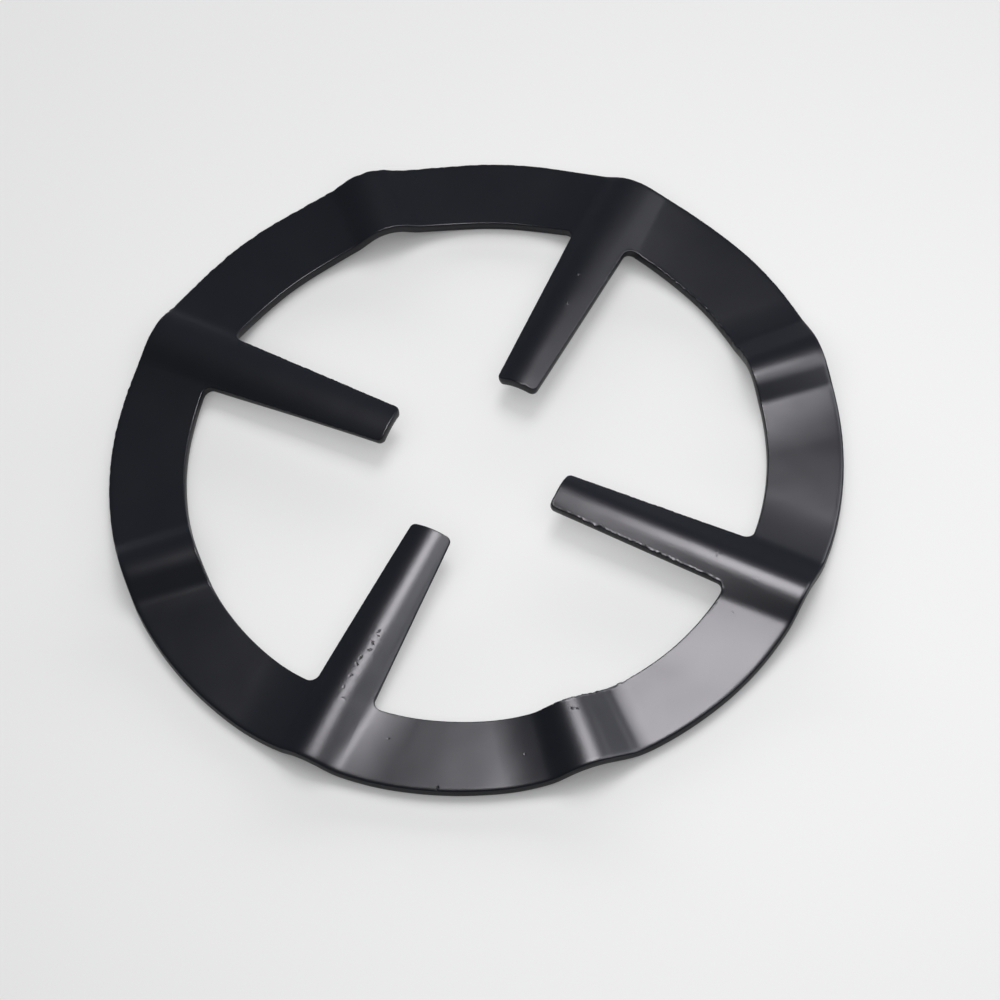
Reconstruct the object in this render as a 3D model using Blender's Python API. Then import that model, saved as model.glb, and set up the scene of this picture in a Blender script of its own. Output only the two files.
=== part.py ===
"""Gas hob reducer ring.

One piece of sheet steel, made in the order that the press shop makes it: a flat blank with four arms is cut
out, its cut edges are rounded over, bend lines are laid across it, and eight low waves are pressed into it,
four along the arms and four between them. It is built as two kinds of sector, each repeated around the axis.

The frame is in metres with +Z up. The origin is on the ring's axis, on the plane that the ring rests on, and
the arms lie along X and Y.
"""

from math import asin, atan2, ceil, cos, pi, radians, sin, sqrt, tan

import bmesh
import bpy
from mathutils import Matrix, Vector

MM = 0.001

# Blank
OUTER_RADIUS = 71.0 * MM
BAND_WIDTH = 14.7 * MM
SHEET_THICKNESS = 1.8 * MM
CUT_EDGE_RADIUS = 0.35 * MM

# Arms, with their widths as seen from above
ARM_COUNT = 4
TIP_DISTANCE = 18.0 * MM
ARM_ROOT_WIDTH = 12.2 * MM
ARM_TIP_WIDTH = 8.7 * MM
TIP_CORNER_RADIUS = 1.2 * MM
ROOT_FILLET_RADIUS = 1.5 * MM

# Pressed waves, measured on the top face
WAVE_HEIGHT = 3.5 * MM
ARM_RISE = 0.6 * MM
CREST_RADIUS = 10.0 * MM
FLANK_ANGLE = radians(26.0)
FOOT_RADIUS = 7.0 * MM
LEAD_IN_ANGLE = radians(11.5)
LEAD_IN_RADIUS = 45.0 * MM

# Fineness of the facets
CREST_STEPS = 8
FOOT_STEPS = 3
LEAD_IN_STEPS = 4
CUT_EDGE_STEPS = 2
CORNER_STEPS = 4
ARC_STEP = radians(3.0)
BEND_LINE_SNAP = 0.15 * MM
WELD_DISTANCE = 0.001 * MM

INNER_RADIUS = OUTER_RADIUS - BAND_WIDTH
HALF_SECTOR = pi / (2 * ARM_COUNT)


# A wave's section, from its crest outwards: crest arc, straight flank, foot arc and a long lead-in arc
CREST_DROP = CREST_RADIUS * (1 - cos(FLANK_ANGLE))
FOOT_DROP = FOOT_RADIUS * (cos(LEAD_IN_ANGLE) - cos(FLANK_ANGLE))
LEAD_IN_DROP = LEAD_IN_RADIUS * (1 - cos(LEAD_IN_ANGLE))
FLANK_DROP = max(WAVE_HEIGHT - CREST_DROP - FOOT_DROP - LEAD_IN_DROP, 0.0)
CREST_END = CREST_RADIUS * sin(FLANK_ANGLE)
FLANK_END = CREST_END + FLANK_DROP / tan(FLANK_ANGLE)
FOOT_END = FLANK_END + FOOT_RADIUS * (sin(FLANK_ANGLE) - sin(LEAD_IN_ANGLE))
LEAD_IN_END = FOOT_END + LEAD_IN_RADIUS * sin(LEAD_IN_ANGLE)


def wave_section(across):
    """Height and slope of the top face at a distance across a wave, measured from its centre line."""
    side = -1.0 if across < 0 else 1.0
    reach = abs(across)
    if reach < CREST_END:
        level = sqrt(CREST_RADIUS ** 2 - reach ** 2)
        height = WAVE_HEIGHT - CREST_RADIUS + level
        return height, -side * reach / level
    if reach < FLANK_END:
        height = WAVE_HEIGHT - CREST_DROP - (reach - CREST_END) * tan(FLANK_ANGLE)
        return height, -side * tan(FLANK_ANGLE)
    if reach < FOOT_END:
        offset = FLANK_END + FOOT_RADIUS * sin(FLANK_ANGLE) - reach
        level = sqrt(FOOT_RADIUS ** 2 - offset ** 2)
        height = LEAD_IN_DROP + FOOT_RADIUS * cos(LEAD_IN_ANGLE) - level
        return height, -side * offset / level
    if reach < LEAD_IN_END:
        offset = LEAD_IN_END - reach
        level = sqrt(LEAD_IN_RADIUS ** 2 - offset ** 2)
        return LEAD_IN_RADIUS - level, -side * offset / level
    return 0.0, 0.0


def bend_lines():
    """Distances from a wave's centre line at which the sheet is given a bend, on one side of it."""
    crest = [CREST_END * 2 * i / CREST_STEPS for i in range(CREST_STEPS // 2 + 1)]
    foot = [FLANK_END + (FOOT_END - FLANK_END) * i / FOOT_STEPS for i in range(FOOT_STEPS + 1)]
    lead_in = [FOOT_END + (LEAD_IN_END - FOOT_END) * i / LEAD_IN_STEPS for i in range(1, LEAD_IN_STEPS + 1)]
    return crest + foot + lead_in


def arc(centre, radius, start, end, steps):
    """Points along an arc, both of its ends among them."""
    angles = [start + (end - start) * i / steps for i in range(steps + 1)]
    return [centre + radius * Vector((cos(angle), sin(angle))) for angle in angles]


def band_edge(radius, start):
    """Points along one edge of the band, from an angle to the sector's joint, with one on each bend line."""
    marks = [asin(line / radius) for line in bend_lines()]
    marks = [start] + [mark for mark in marks if start < mark < HALF_SECTOR] + [HALF_SECTOR]
    points = []
    for first, last in zip(marks, marks[1:]):
        steps = ceil((last - first) / ARC_STEP)
        points += arc(Vector((0, 0)), radius, first, last, steps)[:-1]
    return points + [radius * Vector((cos(HALF_SECTOR), sin(HALF_SECTOR)))]


def arm_edge():
    """Points along the upper half of an arm, from its tip to the band's inner edge at the sector's joint."""
    tip = Vector((TIP_DISTANCE, ARM_TIP_WIDTH / 2))
    half_root = ARM_ROOT_WIDTH / 2
    root = Vector((sqrt(INNER_RADIUS ** 2 - half_root ** 2), half_root))
    along = (root - tip).normalized()
    outward = Vector((-along.y, along.x))

    drop = TIP_CORNER_RADIUS * (1 + outward.x) / outward.y
    corner = Vector((tip.x + TIP_CORNER_RADIUS, tip.y - drop))
    side_angle = atan2(outward.y, outward.x)
    points = arc(corner, TIP_CORNER_RADIUS, pi, side_angle, CORNER_STEPS)

    start = tip + outward * ROOT_FILLET_RADIUS
    reach = start.dot(along)
    gap = start.length_squared - (INNER_RADIUS - ROOT_FILLET_RADIUS) ** 2
    fillet = start + along * (sqrt(reach ** 2 - gap) - reach)
    band_angle = atan2(fillet.y, fillet.x)
    points += arc(fillet, ROOT_FILLET_RADIUS, side_angle - pi, band_angle, CORNER_STEPS)

    return points + band_edge(INNER_RADIUS, band_angle)[1:]


def mirrored(points):
    """The points on the other side of the sector's centre line, in reverse order."""
    return [Vector((point.x, -point.y)) for point in reversed(points)]


def sector_outline(has_arm):
    """The closed outline of one sector of the blank, centred on +X and anticlockwise from above."""
    outer = band_edge(OUTER_RADIUS, 0.0)
    outline = mirrored(outer)[:-1] + outer
    if has_arm:
        inner = arm_edge()
        return outline + inner[::-1] + mirrored(inner)[::-1]
    inner = band_edge(INNER_RADIUS, 0.0)
    return outline + inner[::-1] + mirrored(inner)[::-1][1:]


def on_joint(vert):
    """Whether a vertex lies on a plane where two sectors join."""
    return abs(abs(atan2(vert.co.y, vert.co.x)) - HALF_SECTOR) < WELD_DISTANCE / OUTER_RADIUS


def blank_sector(mesh, outline):
    """A flat sector of the sheet with its cut edges rounded over, left open where it joins its neighbours."""
    base = mesh.faces.new([mesh.verts.new((point.x, point.y, 0)) for point in outline])
    raised = bmesh.ops.extrude_face_region(mesh, geom=[base])["geom"]
    bmesh.ops.translate(
        mesh,
        verts=[item for item in raised if isinstance(item, bmesh.types.BMVert)],
        vec=(0, 0, SHEET_THICKNESS),
    )
    bmesh.ops.recalc_face_normals(mesh, faces=mesh.faces)
    arrises = [
        edge
        for edge in mesh.edges
        if edge.verts[0].co.z == edge.verts[1].co.z and not all(on_joint(vert) for vert in edge.verts)
    ]
    bmesh.ops.bevel(
        mesh,
        geom=arrises,
        offset=CUT_EDGE_RADIUS,
        segments=CUT_EDGE_STEPS,
        profile=0.5,
        affect="EDGES",
        clamp_overlap=True,
    )
    joints = [face for face in mesh.faces if all(on_joint(vert) for vert in face.verts)]
    bmesh.ops.delete(mesh, geom=joints, context="FACES_ONLY")


def lay_bend_lines(mesh):
    """Cuts the sector along its bend lines, which run parallel to its centre line."""
    lines = bend_lines()
    for line in [-line for line in lines[:0:-1]] + lines:
        bmesh.ops.bisect_plane(
            mesh,
            geom=mesh.verts[:] + mesh.edges[:] + mesh.faces[:],
            dist=BEND_LINE_SNAP,
            plane_co=(0, line, 0),
            plane_no=(0, 1, 0),
        )


def press_wave(mesh, has_arm):
    """Presses a wave into the flat sector: the sheet follows the section and keeps its thickness."""
    rise = ARM_RISE / WAVE_HEIGHT if has_arm else 0.0
    for vert in mesh.verts:
        height, slope = wave_section(vert.co.y)
        inward = (OUTER_RADIUS - vert.co.x) / (OUTER_RADIUS - TIP_DISTANCE)
        scale = 1 + rise * inward
        slope_along = -rise * height / (OUTER_RADIUS - TIP_DISTANCE)
        normal = Vector((-slope_along, -slope * scale, 1)).normalized()
        depth = SHEET_THICKNESS - vert.co.z
        top = Vector((vert.co.x, vert.co.y, SHEET_THICKNESS + height * scale))
        vert.co = top - normal * depth


def repeat_sector(mesh, source, first_angle):
    """Copies a finished sector around the axis, once for each arm."""
    for index in range(ARM_COUNT):
        faces = [mesh.faces.new([mesh.verts.new(vert.co) for vert in face.verts]) for face in source.faces]
        turn = Matrix.Rotation(first_angle + index * 2 * pi / ARM_COUNT, 3, "Z")
        corners = {vert for face in faces for vert in face.verts}
        bmesh.ops.rotate(mesh, verts=list(corners), cent=(0, 0, 0), matrix=turn)


def coated_steel():
    """Black coating baked onto the steel."""
    material = bpy.data.materials.new("black_coated_steel")
    material.use_nodes = True
    shader = material.node_tree.nodes["Principled BSDF"]
    shader.inputs["Base Color"].default_value = (0.012, 0.012, 0.014, 1.0)
    shader.inputs["Roughness"].default_value = 0.34
    shader.inputs["Metallic"].default_value = 0.0
    return material


def reducer_ring():
    """The whole ring, as one object."""
    ring = bmesh.new()
    for has_arm, first_angle in ((True, 0.0), (False, HALF_SECTOR * 2)):
        sector = bmesh.new()
        blank_sector(sector, sector_outline(has_arm))
        lay_bend_lines(sector)
        press_wave(sector, has_arm)
        repeat_sector(ring, sector, first_angle)
        sector.free()
    bmesh.ops.remove_doubles(ring, verts=ring.verts, dist=WELD_DISTANCE)
    bmesh.ops.recalc_face_normals(ring, faces=ring.faces)
    mesh = bpy.data.meshes.new("reducer_ring")
    ring.to_mesh(mesh)
    ring.free()
    mesh.shade_smooth()
    mesh.set_sharp_from_angle(angle=radians(50.0))
    mesh.materials.append(coated_steel())
    obj = bpy.data.objects.new("reducer_ring", mesh)
    bpy.context.scene.collection.objects.link(obj)
    return obj


for old in list(bpy.data.objects):
    bpy.data.objects.remove(old, do_unlink=True)

reducer_ring()
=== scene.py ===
"""Looks of a gas hob reducer ring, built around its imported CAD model.

The camera comes first. Then the script follows the ring as it is made: blanked from sheet steel, pressed, and
coated black. Last come the white table that it lies on and the light. Lengths are in millimetres until MM turns
them into metres.
"""

from math import atan2, cos, pi, radians, sin, sqrt

import bmesh
import bpy
import numpy as np
from mathutils import Matrix, Vector, noise


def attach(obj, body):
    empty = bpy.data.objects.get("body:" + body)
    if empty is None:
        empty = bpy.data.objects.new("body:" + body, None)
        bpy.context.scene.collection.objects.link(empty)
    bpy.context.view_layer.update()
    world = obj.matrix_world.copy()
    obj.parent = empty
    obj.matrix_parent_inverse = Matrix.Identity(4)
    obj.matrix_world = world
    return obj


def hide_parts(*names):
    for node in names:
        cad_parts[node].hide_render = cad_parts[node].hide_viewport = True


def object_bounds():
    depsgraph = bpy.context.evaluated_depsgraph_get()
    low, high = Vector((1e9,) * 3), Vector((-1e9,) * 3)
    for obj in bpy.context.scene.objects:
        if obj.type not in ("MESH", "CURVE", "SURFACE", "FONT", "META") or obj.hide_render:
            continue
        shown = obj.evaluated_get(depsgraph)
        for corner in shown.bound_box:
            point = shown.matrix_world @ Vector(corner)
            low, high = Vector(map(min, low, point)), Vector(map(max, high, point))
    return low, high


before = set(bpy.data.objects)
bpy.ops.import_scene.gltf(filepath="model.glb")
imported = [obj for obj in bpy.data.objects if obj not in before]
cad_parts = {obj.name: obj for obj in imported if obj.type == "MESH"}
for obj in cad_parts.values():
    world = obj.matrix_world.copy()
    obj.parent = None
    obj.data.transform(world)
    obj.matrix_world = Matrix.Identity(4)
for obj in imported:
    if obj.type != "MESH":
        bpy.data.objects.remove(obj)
cad_low, cad_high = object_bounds()
MM = 0.001


# Camera
# A long lens looks down on the ring from in front of its right-hand arm and is turned a little about its own
# axis. It aims at a point just beside the ring's axis. The values come from fits to the outline, rounded.

CAMERA_AZIMUTH = radians(32.80)
CAMERA_ELEVATION = radians(58.53)
CAMERA_ROLL = radians(-7.60)
CAMERA_DISTANCE = 973.6
CAMERA_LENS = 182.13
AIM_RIGHT = 3.93
AIM_BEHIND = -7.2

camera_right = Vector((cos(CAMERA_AZIMUTH), sin(CAMERA_AZIMUTH), 0))
camera_ahead = Vector((-sin(CAMERA_AZIMUTH), cos(CAMERA_AZIMUTH), 0))
camera_back = Vector((0, 0, sin(CAMERA_ELEVATION))) - camera_ahead * cos(CAMERA_ELEVATION)
camera_up = camera_back.cross(camera_right)
rolled_right = camera_right * cos(CAMERA_ROLL) + camera_up * sin(CAMERA_ROLL)
rolled_up = camera_up * cos(CAMERA_ROLL) - camera_right * sin(CAMERA_ROLL)

camera_data = bpy.data.cameras.new("camera")
camera_data.sensor_width = 36.0
camera_data.lens = CAMERA_LENS
camera_data.clip_start = 0.05
camera = bpy.data.objects.new("camera", camera_data)
bpy.context.scene.collection.objects.link(camera)
aim = camera_right * AIM_RIGHT + camera_ahead * AIM_BEHIND
axes = Matrix((rolled_right, rolled_up, camera_back)).transposed()
camera.matrix_world = Matrix.Translation((aim + camera_back * CAMERA_DISTANCE) * MM) @ axes.to_4x4()
bpy.context.scene.camera = camera


# Reducer ring
# One piece of 1.8 mm sheet steel. The press blanks it, which rolls its outer edge over and leaves the edges of
# the hole and arms sharp and a little ragged, and then forms eight low waves. The black coating comes last.

OUTER_RADIUS = cad_high.x / MM
SHEET_THICKNESS = 1.8
BAND_WIDTH = 14.9
TIP_DISTANCE = 17.9
ARM_ROOT_WIDTH = 12.4
ARM_TIP_WIDTH = 8.9
TIP_CORNER_RADIUS = 1.2
ROOT_FILLET_RADIUS = 1.5
HOLE_OFFSET = -0.03 + 0.25j

RIM_INSET = 0.95
HOLE_INSET = 0.9
UNDERSIDE_RIM_INSET = 0.18
UNDERSIDE_HOLE_INSET = 0.28

ARM_COUNT = 4
BAND_ROWS = 26
UNDERSIDE_BAND_ROWS = 6
ARM_ROWS = 150
ARM_HALF_COLUMNS = 5
CORNER_STEPS = 6
FILLET_STEPS = 8
ARC_COLUMNS = 212

# Plan positions are complex numbers, x + iy. The first arm's upper side gives the whole outline. The hole and its
# arms are punched a little off the ring's centre.
inner_radius = OUTER_RADIUS - BAND_WIDTH
tip_end = TIP_DISTANCE + 0.5j * ARM_TIP_WIDTH
root_end = sqrt(inner_radius ** 2 - ARM_ROOT_WIDTH ** 2 / 4) + 0.5j * ARM_ROOT_WIDTH
side_along = (root_end - tip_end) / abs(root_end - tip_end)
side_outward = side_along * 1j
side_angle = atan2(side_outward.imag, side_outward.real)
corner_drop = TIP_CORNER_RADIUS * (1 + side_outward.real) / side_outward.imag
corner_centre = tip_end + TIP_CORNER_RADIUS - 1j * corner_drop


def meet_circle(start, radius):
    """Where a line along the arm's side, drawn from a point, meets a circle about the ring's axis."""
    reach = (start * side_along.conjugate()).real
    return start + side_along * (sqrt(reach ** 2 - abs(start) ** 2 + radius ** 2) - reach)


fillet_centre = meet_circle(tip_end + side_outward * ROOT_FILLET_RADIUS, inner_radius - ROOT_FILLET_RADIUS)
fillet_angle = atan2(fillet_centre.imag, fillet_centre.real)
side_on_rim = meet_circle(tip_end, OUTER_RADIUS)
side_rim_angle = atan2(side_on_rim.imag, side_on_rim.real)


def sheet_face(rim_inset, hole_inset, band_rows):
    """Plan positions of one face of the blank, in columns from rim to hole, and of its four arms."""
    corner_angles = np.linspace(pi, side_angle, CORNER_STEPS + 1)
    corner = corner_centre + (TIP_CORNER_RADIUS - hole_inset) * np.exp(1j * corner_angles)
    half_tip = TIP_DISTANCE + hole_inset + 1j * np.linspace(0, corner_centre.imag, ARM_HALF_COLUMNS + 1)
    half_tip = np.concatenate([half_tip[:-1], corner])
    tip = np.concatenate([half_tip[:0:-1].conj(), half_tip])
    across = tip.imag / tip.imag[-1]
    side_root = fillet_centre - side_outward * (ROOT_FILLET_RADIUS + hole_inset)
    root = side_root.real + 1j * across * side_root.imag

    fillet_angles = np.linspace(side_angle - pi, fillet_angle, FILLET_STEPS + 1)
    fillet = fillet_centre + (ROOT_FILLET_RADIUS + hole_inset) * np.exp(1j * fillet_angles)
    arc_angles = np.linspace(fillet_angle, pi / 2 - fillet_angle, ARC_COLUMNS + 1)
    arc = (inner_radius + hole_inset) * np.exp(1j * arc_angles)
    next_fillet = 1j * fillet[::-1].conj()
    quarter = np.concatenate([root, fillet[1:], arc[1:], next_fillet[1:-1]])

    fillet_rim = np.linspace(side_rim_angle, fillet_angle, FILLET_STEPS + 1)
    rim_angles = np.concatenate(
        [across * side_rim_angle, fillet_rim[1:], arc_angles[1:], pi / 2 - fillet_rim[-2:0:-1]]
    )
    turns = 1j ** np.arange(ARM_COUNT)
    inner = (turns[:, None] * quarter).ravel() + HOLE_OFFSET
    outer = (turns[:, None] * (OUTER_RADIUS - rim_inset) * np.exp(1j * rim_angles)).ravel()
    down_band = np.linspace(0, 1, band_rows + 1)
    band = outer[:, None] + (inner - outer)[:, None] * down_band
    down_arm = np.linspace(0, 1, ARM_ROWS + 1)
    arm = root[:, None] + (tip - root)[:, None] * down_arm
    return band, turns[:, None, None] * arm + HOLE_OFFSET


def face_layout(band, arms, first):
    """Numbers of a face's vertices, from a first one, with its quads and the loops along rim and hole."""
    columns, rows = band.shape
    arm_columns = arms.shape[1]
    quarter = columns // ARM_COUNT
    band_ids = first + np.arange(columns * rows).reshape(columns, rows)
    own = first + columns * rows + np.arange(ARM_COUNT * arm_columns * ARM_ROWS)
    own = own.reshape(ARM_COUNT, arm_columns, ARM_ROWS)
    roots = band_ids[:, -1].reshape(ARM_COUNT, quarter)
    arm_ids = np.concatenate([roots[:, :arm_columns, None], own], axis=2)

    following = np.roll(band_ids, -1, axis=0)
    quads = [np.stack([band_ids[:, :-1], following[:, :-1], following[:, 1:], band_ids[:, 1:]], -1)]
    for ids in arm_ids:
        quads.append(np.stack([ids[:-1, :-1], ids[1:, :-1], ids[1:, 1:], ids[:-1, 1:]], -1))
    hole = []
    for ids, root in zip(arm_ids, roots):
        hole += [ids[0], ids[1:, -1], ids[-1, -2::-1], root[arm_columns:]]
    return np.concatenate([q.reshape(-1, 4) for q in quads]), band_ids[:, 0], np.concatenate(hole)


def flat_points(band, arms):
    """All of a face's plan positions, in the order of its vertices."""
    return np.concatenate([band.ravel(), arms[:, :, 1:].ravel()])


def unevenness(plan, size, layer):
    """Smooth random values about zero at plan positions, with bumps of about a given size."""
    return np.array([noise.noise(Vector((p.real / size, p.imag / size, layer))) for p in plan])


def stretch(plan, centre, reach):
    """1 near a plan position, falling to 0 at a distance from it."""
    return np.clip(2 - 2 * np.abs(plan - centre) / reach, 0, 1)


def edge_strip(outline, outward, section):
    """Plan positions and levels of the vertices round a cut edge, following a section of offset and level."""
    plan = [outline + outward * offset for offset, level in section]
    levels = [level + np.zeros(len(outline)) for offset, level in section]
    return np.array(plan), np.array(levels)


top_band, top_arms = sheet_face(RIM_INSET, HOLE_INSET, BAND_ROWS)
under_band, under_arms = sheet_face(UNDERSIDE_RIM_INSET, UNDERSIDE_HOLE_INSET, UNDERSIDE_BAND_ROWS)
top_plan = flat_points(top_band, top_arms)
under_plan = flat_points(under_band, under_arms)
top_quads, top_rim, top_hole = face_layout(top_band, top_arms, 0)
under_quads, under_rim, under_hole = face_layout(under_band, under_arms, len(top_plan))

drawn = flat_points(*sheet_face(0.0, 0.0, BAND_ROWS))
shrunk = flat_points(*sheet_face(1.0, 1.0, BAND_ROWS))
rim_line = drawn[top_rim]
rim_outward = rim_line - shrunk[top_rim]
hole_line = drawn[top_hole]
hole_outward = hole_line - shrunk[top_hole]

# The punch rolls the top of the outer edge over a little. Along the ring's left side the cut runs a
# little unevenly.
RIM_WANDER = 0.16
RIM_LEFT_SIDE = -66 + 20j
rim_wander = RIM_WANDER * unevenness(rim_line, 1.1, 1.0)
rim_wander *= 0.25 + 0.75 * stretch(rim_line, RIM_LEFT_SIDE, 70)
rim_section = [
    (-0.62, SHEET_THICKNESS - 0.012),
    (-0.4, SHEET_THICKNESS - 0.035),
    (-0.25 + rim_wander * 0.4, SHEET_THICKNESS - 0.07),
    (-0.13 + rim_wander, SHEET_THICKNESS - 0.12),
    (-0.05 + rim_wander, SHEET_THICKNESS - 0.2),
    (-0.01 + rim_wander * 0.5, SHEET_THICKNESS - 0.35),
    (0.0, 0.15),
    (-0.05, 0.04),
]

# The edges round the hole break out at the top, where the cut slopes back under a thin ragged burr. It is
# roughest along the near side of the first arm.
LEAST_RAGGEDNESS = 0.08
MOST_RAGGEDNESS = 1.08
CUT_LEAN = 0.24
raggedness = np.maximum.reduce([
    np.full(len(hole_line), LEAST_RAGGEDNESS),
    stretch(hole_line, 35 - 18j, 29),
    0.8 * stretch(hole_line, 24 + 50j, 22),
    0.7 * stretch(hole_line, 0 + 18j, 6),
    0.35 * stretch(hole_line, -34 - 5j, 26),
])
raggedness = np.minimum(raggedness, MOST_RAGGEDNESS - stretch(hole_line, 52 - 20j, 16))
burr_wander = 0.34 * unevenness(hole_line, 0.55, 2.0) + 0.22 * unevenness(hole_line, 1.7, 3.0)
burr_wander = burr_wander * raggedness
burr = np.clip(0.8 + 3.4 * unevenness(hole_line, 0.6, 4.0), 0.0, 2.4)
burr *= raggedness * np.clip(np.abs(hole_line) - 4, 18, 50) * 0.002
cut_lean = CUT_LEAN - 0.14 * stretch(hole_line, 6 - 38j, 30)
hole_section = [
    (-cut_lean - 0.54 + burr_wander, SHEET_THICKNESS),
    (-cut_lean - 0.4 + burr_wander, SHEET_THICKNESS + burr * 0.45),
    (-cut_lean - 0.25 + burr_wander, SHEET_THICKNESS + burr),
    (-cut_lean - 0.13 + burr_wander, SHEET_THICKNESS - 0.03 + burr * 0.4),
    (-cut_lean - 0.05 + burr_wander * 0.9, SHEET_THICKNESS - 0.14),
    (-cut_lean * 0.45 + burr_wander * 0.3, SHEET_THICKNESS - 0.6),
    (-cut_lean * 0.1, SHEET_THICKNESS - 1.05),
    (0.0, 0.28),
    (-0.08, 0.08),
]


def cut_edge(line, outward, section, top_loop, under_loop, first):
    """The vertices round a cut edge, and the quads that join them to the two faces of the sheet."""
    plan, levels = edge_strip(line, outward, section)
    own = first + np.arange(plan.size).reshape(plan.shape)
    rows = np.concatenate([top_loop[None], own, under_loop[None]])
    following = np.roll(rows, -1, axis=1)
    quads = np.stack([rows[:-1], following[:-1], following[1:], rows[1:]], -1)
    return plan.ravel(), levels.ravel(), quads.reshape(-1, 4)


count = len(top_plan) + len(under_plan)
rim_plan, rim_levels, rim_quads = cut_edge(rim_line, rim_outward, rim_section, top_rim, under_rim, count)
count += len(rim_plan)
hole_plan, hole_levels, hole_quads = cut_edge(
    hole_line, hole_outward, hole_section, top_hole, under_hole, count
)
plan = np.concatenate([top_plan, under_plan, rim_plan, hole_plan])
level = np.concatenate(
    [np.full(len(top_plan), SHEET_THICKNESS), np.zeros(len(under_plan)), rim_levels, hole_levels]
)
quads = np.concatenate([top_quads, under_quads, rim_quads, hole_quads])

# The press works each wave a little differently. A wave has its angle, then its height and how far left of its
# line the crest lies, each at the rim and at its inner end. Each side, first the right and then the left, has the
# crest's radius and the flank's angle at both ends, and its foot. A foot has its radius, then the angle and radius
# of the long lead-in before it. The press is set a little off the blank's centre and turned a little. Most of
# these numbers are a fit's output, rounded.
WAVE_TURN = -0.58
PRESS_CENTRE = -0.2 + 0.32j
FOOT = (7, 12, 50)
WAVES = (
    (0, (3.5, 3.55), (-0.5, 0.1),
     ((10, 7), (21, 12), (8, 9, 110)), ((6, 5), (26, 29), (7, 7, 80))),
    (45, (3.6, 3.7), (-0.3, -0.4),
     ((10, 8), (26, 30), (4, 9, 70)), ((10, 7), (24, 25), (6, 8, 40))),
    (90, (3.2, 3.9), (-0.2, -0.2),
     ((12, 9), (16, 14), (8, 12, 75)), ((10, 8), (25, 26), FOOT)),
    (135, (3.7, 3.4), (0.0, -0.1),
     ((10, 10), (26, 26), FOOT), ((10, 10), (26, 26), FOOT)),
    (180, (3.2, 3.3), (-0.2, -0.2),
     ((11, 12), (26, 26), FOOT), ((11, 12), (26, 26), FOOT)),
    (225, (3.2, 3.2), (-0.2, -0.1),
     ((8, 8), (26, 26), FOOT), ((8, 9), (28, 28), (5, 5, 40))),
    (270, (2.3, 4.0), (-0.3, 0.0),
     ((7, 8), (26, 16), FOOT), ((10, 9), (28, 30), (10, 6, 75))),
    (315, (3.0, 2.8), (0.0, -0.2),
     ((12, 8), (24, 26), (8, 9, 50)), ((12, 11), (22, 22), (9, 8, 25))),
)


def along(ends, inward):
    """A value part of the way from a wave's rim end to its inner end."""
    return ends[0] + (ends[1] - ends[0]) * inward


def wave_side(reach, height, inward, side):
    """Height on one side of a wave: a crest arc, a straight flank, a foot arc and a long lead-in arc."""
    crest_radii, flanks, (foot_radius, lead_in, lead_in_radius) = side
    crest_radius = along(crest_radii, inward)
    flank = np.radians(along(flanks, inward))
    lead_in = radians(lead_in)
    crest_drop = crest_radius * (1 - np.cos(flank))
    foot_drop = foot_radius * (cos(lead_in) - np.cos(flank))
    lead_in_drop = lead_in_radius * (1 - cos(lead_in))
    # A wave too low for its arcs is the whole section pressed less deep.
    full = np.maximum(height, crest_drop + foot_drop + lead_in_drop + 0.02)
    crest_end = crest_radius * np.sin(flank)
    flank_end = crest_end + (full - crest_drop - foot_drop - lead_in_drop) / np.tan(flank)
    foot_end = flank_end + foot_radius * (np.sin(flank) - sin(lead_in))
    end = foot_end + lead_in_radius * sin(lead_in)

    def arc(radius, offset):
        return np.sqrt(np.maximum(radius ** 2 - offset ** 2, 0))

    crest = full - crest_radius + arc(crest_radius, reach)
    slope = full - crest_drop - (reach - crest_end) * np.tan(flank)
    foot_centre = flank_end + foot_radius * np.sin(flank)
    foot = lead_in_drop + foot_radius * cos(lead_in) - arc(foot_radius, foot_centre - reach)
    rise = lead_in_radius - arc(lead_in_radius, end - reach)
    section = np.select(
        [reach < crest_end, reach < flank_end, reach < foot_end, reach < end],
        [crest, slope, foot, rise],
        0.0,
    )
    return section * height / full


# The flats on both sides of the first arm lean a little, so that their inner edges stand higher than the rim. The
# one beside the fourth arm leans the other way, and the ring as a whole is slightly out of true. The leans are a
# fit's output, rounded, and the warp follows one.
FLAT_LEANS = (0.15, 0.0, 0.0, 0.0, 0.0, 0.0, -0.1, 0.2)
WARP = 0.25
WARP_ANGLE = radians(12)
SURFACE_WAVER = 0.018
SLOPE_STEP = 0.02


def pressed_height(plan):
    """How far the press lifts the sheet at plan positions."""
    plan = plan - PRESS_CENTRE
    radius = np.abs(plan)
    angle = np.angle(plan)
    height = np.zeros(plan.shape)
    for turn, heights, shifts, right, left in WAVES:
        local = plan * np.exp(-1j * radians(turn + WAVE_TURN))
        length = OUTER_RADIUS - TIP_DISTANCE if turn % 90 == 0 else BAND_WIDTH
        inward = np.clip((OUTER_RADIUS - radius) / length, 0, 1)
        top = along(heights, inward)
        across = local.imag - along(shifts, inward)
        reach = np.abs(across)
        on_right = wave_side(reach, top, inward, right)
        section = np.where(across < 0, on_right, wave_side(reach, top, inward, left))
        height = np.where(local.real > 0, np.maximum(height, section), height)
    place = np.degrees(angle) / 45 % 8
    level_part = np.clip((1 - np.abs(place % 1 - 0.5) * 2) / 0.45, 0, 1)
    level_part = level_part ** 2 * (3 - 2 * level_part)
    lean = np.array(FLAT_LEANS)[np.floor(place).astype(int) % 8] * level_part
    inward = np.clip((OUTER_RADIUS - radius) / BAND_WIDTH, 0, 1)
    warp = WARP * (1 + np.cos(2 * (angle - WARP_ANGLE)))
    waver = SURFACE_WAVER * unevenness(plan, 5.0, 7.0)
    return height + lean * (inward - (lean < 0)) + warp + waver


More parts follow.
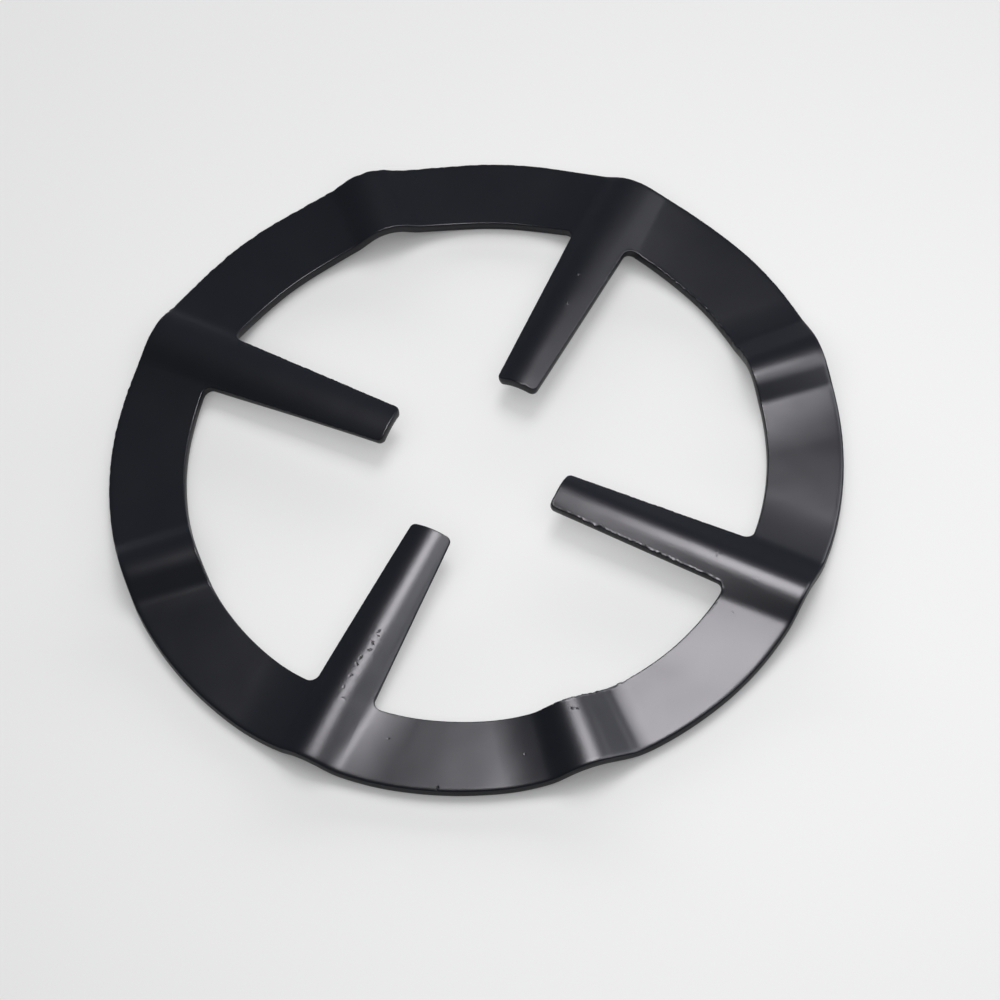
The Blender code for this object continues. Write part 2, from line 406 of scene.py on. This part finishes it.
def press(plan, level):
    """Positions in the pressed sheet: it follows the waves and keeps its thickness."""
    height = pressed_height(plan)
    slope_x, slope_y = (
        (pressed_height(plan + step) - pressed_height(plan - step)) / (2 * SLOPE_STEP)
        for step in (SLOPE_STEP, 1j * SLOPE_STEP)
    )
    normal = np.stack([-slope_x, -slope_y, np.ones(len(plan))], 1)
    normal /= np.linalg.norm(normal, axis=1)[:, None]
    top = np.stack([plan.real, plan.imag, SHEET_THICKNESS + height], 1)
    return top - normal * (SHEET_THICKNESS - level)[:, None]


# Small ragged pits: the place from the press's centre, half the length and width, the direction and the depth of
# each. The places are marks in the photograph, turned into the ring's frame by a program.
PITS = (
    (0.9 - 42.0j, 0.5, 0.2, 70, 0.07),
    (1.2 - 43.0j, 0.3, 0.2, 30, 0.05),
    (1.0 - 44.8j, 0.6, 0.2, 115, 0.07),
    (1.1 - 46.3j, 0.45, 0.25, 50, 0.06),
    (0.3 - 48.4j, 0.6, 0.2, 75, 0.07),
    (0.3 - 50.0j, 0.45, 0.22, 140, 0.06),
    (0.3 - 52.6j, 0.55, 0.18, 60, 0.06),
    (0.2 - 55.3j, 0.4, 0.16, 95, 0.05),
    (1.1 - 57.4j, 0.35, 0.15, 40, 0.05),
    (12.1 - 60.5j, 0.3, 0.25, 0, 0.06),
    (36.9 - 53.1j, 0.25, 0.2, 0, 0.05),
    (41.5 - 41.9j, 0.4, 0.25, 20, -0.06),
    (42.3 - 41.6j, 0.35, 0.25, 20, -0.06),
    (52.3 - 1.5j, 0.5, 0.16, 100, 0.035),
    (61.4 - 2.7j, 0.3, 0.22, 0, 0.02),
    (59.7 - 10.4j, 0.35, 0.2, 150, 0.02),
    (67.6 + 3.6j, 0.25, 0.2, 0, 0.05),
    (1.2 + 38.8j, 0.4, 0.2, 120, -0.05),
    (0.2 + 45.7j, 0.5, 0.2, 30, -0.08),
    (25.1 - 66.1j, 0.6, 0.3, 110, 0.18),
)
PIT_ROUGHNESS = 1.6
PIT_MARGIN = 0.3
PIT_CUTS = 5


def dent(plan, level):
    """Levels with the pits pressed into the sheet's top face."""
    on_top = np.clip((level - SHEET_THICKNESS * 0.6) / (SHEET_THICKNESS * 0.2), 0, 1)
    roughness = PIT_ROUGHNESS * unevenness(plan, 0.22, 9.0)
    for centre, half_length, half_width, direction, depth in PITS:
        local = (plan - PRESS_CENTRE - centre) * np.exp(-1j * radians(direction))
        away = (local.real / half_length) ** 2 + (local.imag / half_width) ** 2
        level = level - depth * on_top * np.clip(1 - away + roughness * (away < 1), 0, 1)
    return level


# The blank's mesh is made finer round each pit before the pits go in.
mesh = bpy.data.meshes.new("ring")
mesh.from_pydata(np.stack([plan.real, plan.imag, level], 1).tolist(), [], quads.tolist())
work = bmesh.new()
work.from_mesh(mesh)
marked = set()
for face in work.faces:
    middle = face.calc_center_median()
    here = complex(middle.x, middle.y) - PRESS_CENTRE
    near_pit = any(abs(here - pit[0]) < pit[1] + PIT_MARGIN for pit in PITS)
    if middle.z > SHEET_THICKNESS - 0.3 and near_pit:
        marked.update(face.edges)
bmesh.ops.subdivide_edges(work, edges=list(marked), cuts=PIT_CUTS, use_grid_fill=True)
flat = np.array([vertex.co[:] for vertex in work.verts])
plan = flat[:, 0] + 1j * flat[:, 1]
for vertex, point in zip(work.verts, press(plan, dent(plan, flat[:, 2]))):
    vertex.co = Vector(point) * MM
bmesh.ops.recalc_face_normals(work, faces=work.faces)
work.to_mesh(mesh)
work.free()
mesh.shade_smooth()


def black_coating():
    """Black heat-resistant coating, semi-gloss, with a faint orange peel and uneven gloss."""
    material = bpy.data.materials.new("black_coating")
    material.use_nodes = True
    nodes = material.node_tree.nodes
    links = material.node_tree.links
    shader = nodes["Principled BSDF"]
    shader.inputs["IOR"].default_value = 1.5
    place = nodes.new("ShaderNodeTexCoord")

    patches = nodes.new("ShaderNodeTexNoise")
    patches.inputs["Scale"].default_value = 90.0
    patches.inputs["Detail"].default_value = 4.0
    links.new(place.outputs["Object"], patches.inputs["Vector"])
    gloss = nodes.new("ShaderNodeMapRange")
    gloss.inputs["To Min"].default_value = 0.275
    gloss.inputs["To Max"].default_value = 0.315
    links.new(patches.outputs["Fac"], gloss.inputs["Value"])
    links.new(gloss.outputs["Result"], shader.inputs["Roughness"])

    tint = nodes.new("ShaderNodeMix")
    tint.data_type = "RGBA"
    tint.inputs["A"].default_value = (0.0065, 0.0072, 0.0105, 1.0)
    tint.inputs["B"].default_value = (0.009, 0.0098, 0.013, 1.0)
    links.new(patches.outputs["Fac"], tint.inputs["Factor"])
    links.new(tint.outputs["Result"], shader.inputs["Base Color"])

    peel = nodes.new("ShaderNodeTexNoise")
    peel.inputs["Scale"].default_value = 2400.0
    peel.inputs["Detail"].default_value = 2.0
    links.new(place.outputs["Object"], peel.inputs["Vector"])
    bump = nodes.new("ShaderNodeBump")
    bump.inputs["Strength"].default_value = 0.5
    bump.inputs["Distance"].default_value = 0.00001
    links.new(peel.outputs["Fac"], bump.inputs["Height"])
    links.new(bump.outputs["Normal"], shader.inputs["Normal"])
    return material


ring = bpy.data.objects.new("ring", mesh)
bpy.context.scene.collection.objects.link(ring)
mesh.materials.append(black_coating())
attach(ring, "root")
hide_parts("reducer_ring")


# Table
# A plain white matt table top, wide enough to fill the view from every side. A glow that only the camera sees lifts
# its white. It is painted light, brightest near a point just beyond the ring's rim and weaker at a distance. It is
# about halved in a band under the ring, a painted shadow that deepens the ring's cast shadow there.

TABLE_RADIUS = 3000.0
TABLE_WHITE = (0.604, 0.602, 0.598, 1.0)
GLOW_CENTRE = (78.0, -10.0)
GLOW_RADIUS = 300.0
GLOW_INSIDE = 0.3
GLOW_OUTSIDE = 0.095
PAINTED_SHADOW_CENTRE = (2.0, -3.2)
PAINTED_SHADOW_RANGE = 100.0
PAINTED_SHADOW_STEPS = ((0.56, 1.0), (0.595, 0.48), (0.675, 0.48), (0.71, 1.0))

table_mesh = bpy.data.meshes.new("table")
work = bmesh.new()
bmesh.ops.create_circle(work, cap_ends=True, segments=96, radius=TABLE_RADIUS * MM)
work.to_mesh(table_mesh)
work.free()
table = bpy.data.objects.new("table", table_mesh)
bpy.context.scene.collection.objects.link(table)
white = bpy.data.materials.new("white_table")
white.use_nodes = True
nodes = white.node_tree.nodes
links = white.node_tree.links
nodes["Principled BSDF"].inputs["Base Color"].default_value = TABLE_WHITE
nodes["Principled BSDF"].inputs["Roughness"].default_value = 1.0
nodes["Principled BSDF"].inputs["Specular IOR Level"].default_value = 0.0
nodes["Principled BSDF"].inputs["Emission Color"].default_value = (1.0, 1.0, 1.0, 1.0)
place = nodes.new("ShaderNodeTexCoord")
from_centre = nodes.new("ShaderNodeVectorMath")
from_centre.operation = "DISTANCE"
from_centre.inputs[1].default_value = (GLOW_CENTRE[0] * MM, GLOW_CENTRE[1] * MM, 0.0)
links.new(place.outputs["Object"], from_centre.inputs[0])
# Painted light: the glow is brightest near GLOW_CENTRE and fades with distance from it.
glow = nodes.new("ShaderNodeMapRange")
glow.interpolation_type = "SMOOTHSTEP"
glow.inputs["From Max"].default_value = GLOW_RADIUS * MM
glow.inputs["To Min"].default_value = GLOW_INSIDE
glow.inputs["To Max"].default_value = GLOW_OUTSIDE
links.new(from_centre.outputs["Value"], glow.inputs["Value"])
# Painted shadow: the glow is about halved in a band under the ring, which darkens the table there.
from_ring = nodes.new("ShaderNodeVectorMath")
from_ring.operation = "DISTANCE"
from_ring.inputs[1].default_value = (PAINTED_SHADOW_CENTRE[0] * MM, PAINTED_SHADOW_CENTRE[1] * MM, 0.0)
links.new(place.outputs["Object"], from_ring.inputs[0])
share = nodes.new("ShaderNodeMath")
share.operation = "DIVIDE"
share.inputs[1].default_value = PAINTED_SHADOW_RANGE * MM
links.new(from_ring.outputs["Value"], share.inputs[0])
painted_shadow = nodes.new("ShaderNodeValToRGB")
painted_shadow.color_ramp.interpolation = "EASE"
for step, (position, value) in enumerate(PAINTED_SHADOW_STEPS):
    stop = painted_shadow.color_ramp.elements[step] if step < 2 else painted_shadow.color_ramp.elements.new(position)
    stop.position = position
    stop.color = (value, value, value, 1.0)
links.new(share.outputs["Value"], painted_shadow.inputs["Fac"])
glow_after_painted_shadow = nodes.new("ShaderNodeMath")
glow_after_painted_shadow.operation = "MULTIPLY"
links.new(glow.outputs["Result"], glow_after_painted_shadow.inputs[0])
links.new(painted_shadow.outputs["Color"], glow_after_painted_shadow.inputs[1])
ray = nodes.new("ShaderNodeLightPath")
to_camera = nodes.new("ShaderNodeMath")
to_camera.operation = "MULTIPLY"
links.new(ray.outputs["Is Camera Ray"], to_camera.inputs[0])
links.new(glow_after_painted_shadow.outputs["Value"], to_camera.inputs[1])
links.new(to_camera.outputs["Value"], nodes["Principled BSDF"].inputs["Emission Strength"])
table_mesh.materials.append(white)


# Light
# A broad soft lamp overhead, a window high behind the ring and a bright low strip below it show in the diffuse
# light only. Two low reflectors, over the ring's far side and behind it on the right, show in the gloss only and
# put the soft sheen on the coating. The room beyond is dim, but the camera sees it bright.

def lamp(name, centre, width, depth, radiance, shows_in, facing=(0, 0, -1), colour=(1, 1, 1)):
    """A flat lamp, with its centre and sizes in millimetres."""
    data = bpy.data.lights.new(name, "AREA")
    data.shape = "RECTANGLE"
    data.size = width * MM
    data.size_y = depth * MM
    data.color = colour
    data.energy = radiance * pi * data.size * data.size_y
    obj = bpy.data.objects.new(name, data)
    obj.location = Vector(centre) * MM
    obj.rotation_euler = Vector(facing).to_track_quat("-Z", "Y").to_euler()
    obj.visible_camera = False
    obj.visible_glossy = shows_in == "gloss"
    obj.visible_diffuse = shows_in == "colour"
    bpy.context.scene.collection.objects.link(obj)


STRIP_ANGLE = radians(109)
strip_way = Vector((cos(STRIP_ANGLE), sin(STRIP_ANGLE), 0))
lamp("overhead_softbox", (0, 0, 2400), 7000, 7000, 0.63, "colour")
lamp("window", (-735, 2380, 2400), 1575, 2150, 6.9, "colour")
lamp("low_strip", strip_way * 2500 + Vector((0, 0, 400)), 7100, 540, 12.9, "colour", facing=-strip_way)
lamp("near_reflector", (11, 56, 220), 64, 95, 19.7, "gloss", colour=(1.0, 0.967, 1.02))
lamp("far_reflector", (144, 147, 220), 142, 216, 4.1, "gloss", colour=(0.98, 0.98, 1.05))

world = bpy.data.worlds.new("room")
world.use_nodes = True
room = world.node_tree
room.nodes.clear()
seen = room.nodes.new("ShaderNodeBackground")
seen.inputs["Color"].default_value = (0.82, 0.82, 0.82, 1.0)
dim = room.nodes.new("ShaderNodeBackground")
dim.inputs["Color"].default_value = (0.055, 0.06, 0.07, 1.0)
ray = room.nodes.new("ShaderNodeLightPath")
choice = room.nodes.new("ShaderNodeMixShader")
output = room.nodes.new("ShaderNodeOutputWorld")
room.links.new(ray.outputs["Is Camera Ray"], choice.inputs["Fac"])
room.links.new(dim.outputs["Background"], choice.inputs[1])
room.links.new(seen.outputs["Background"], choice.inputs[2])
room.links.new(choice.outputs["Shader"], output.inputs["Surface"])
bpy.context.scene.world = world
bpy.context.scene.view_settings.view_transform = "Standard"
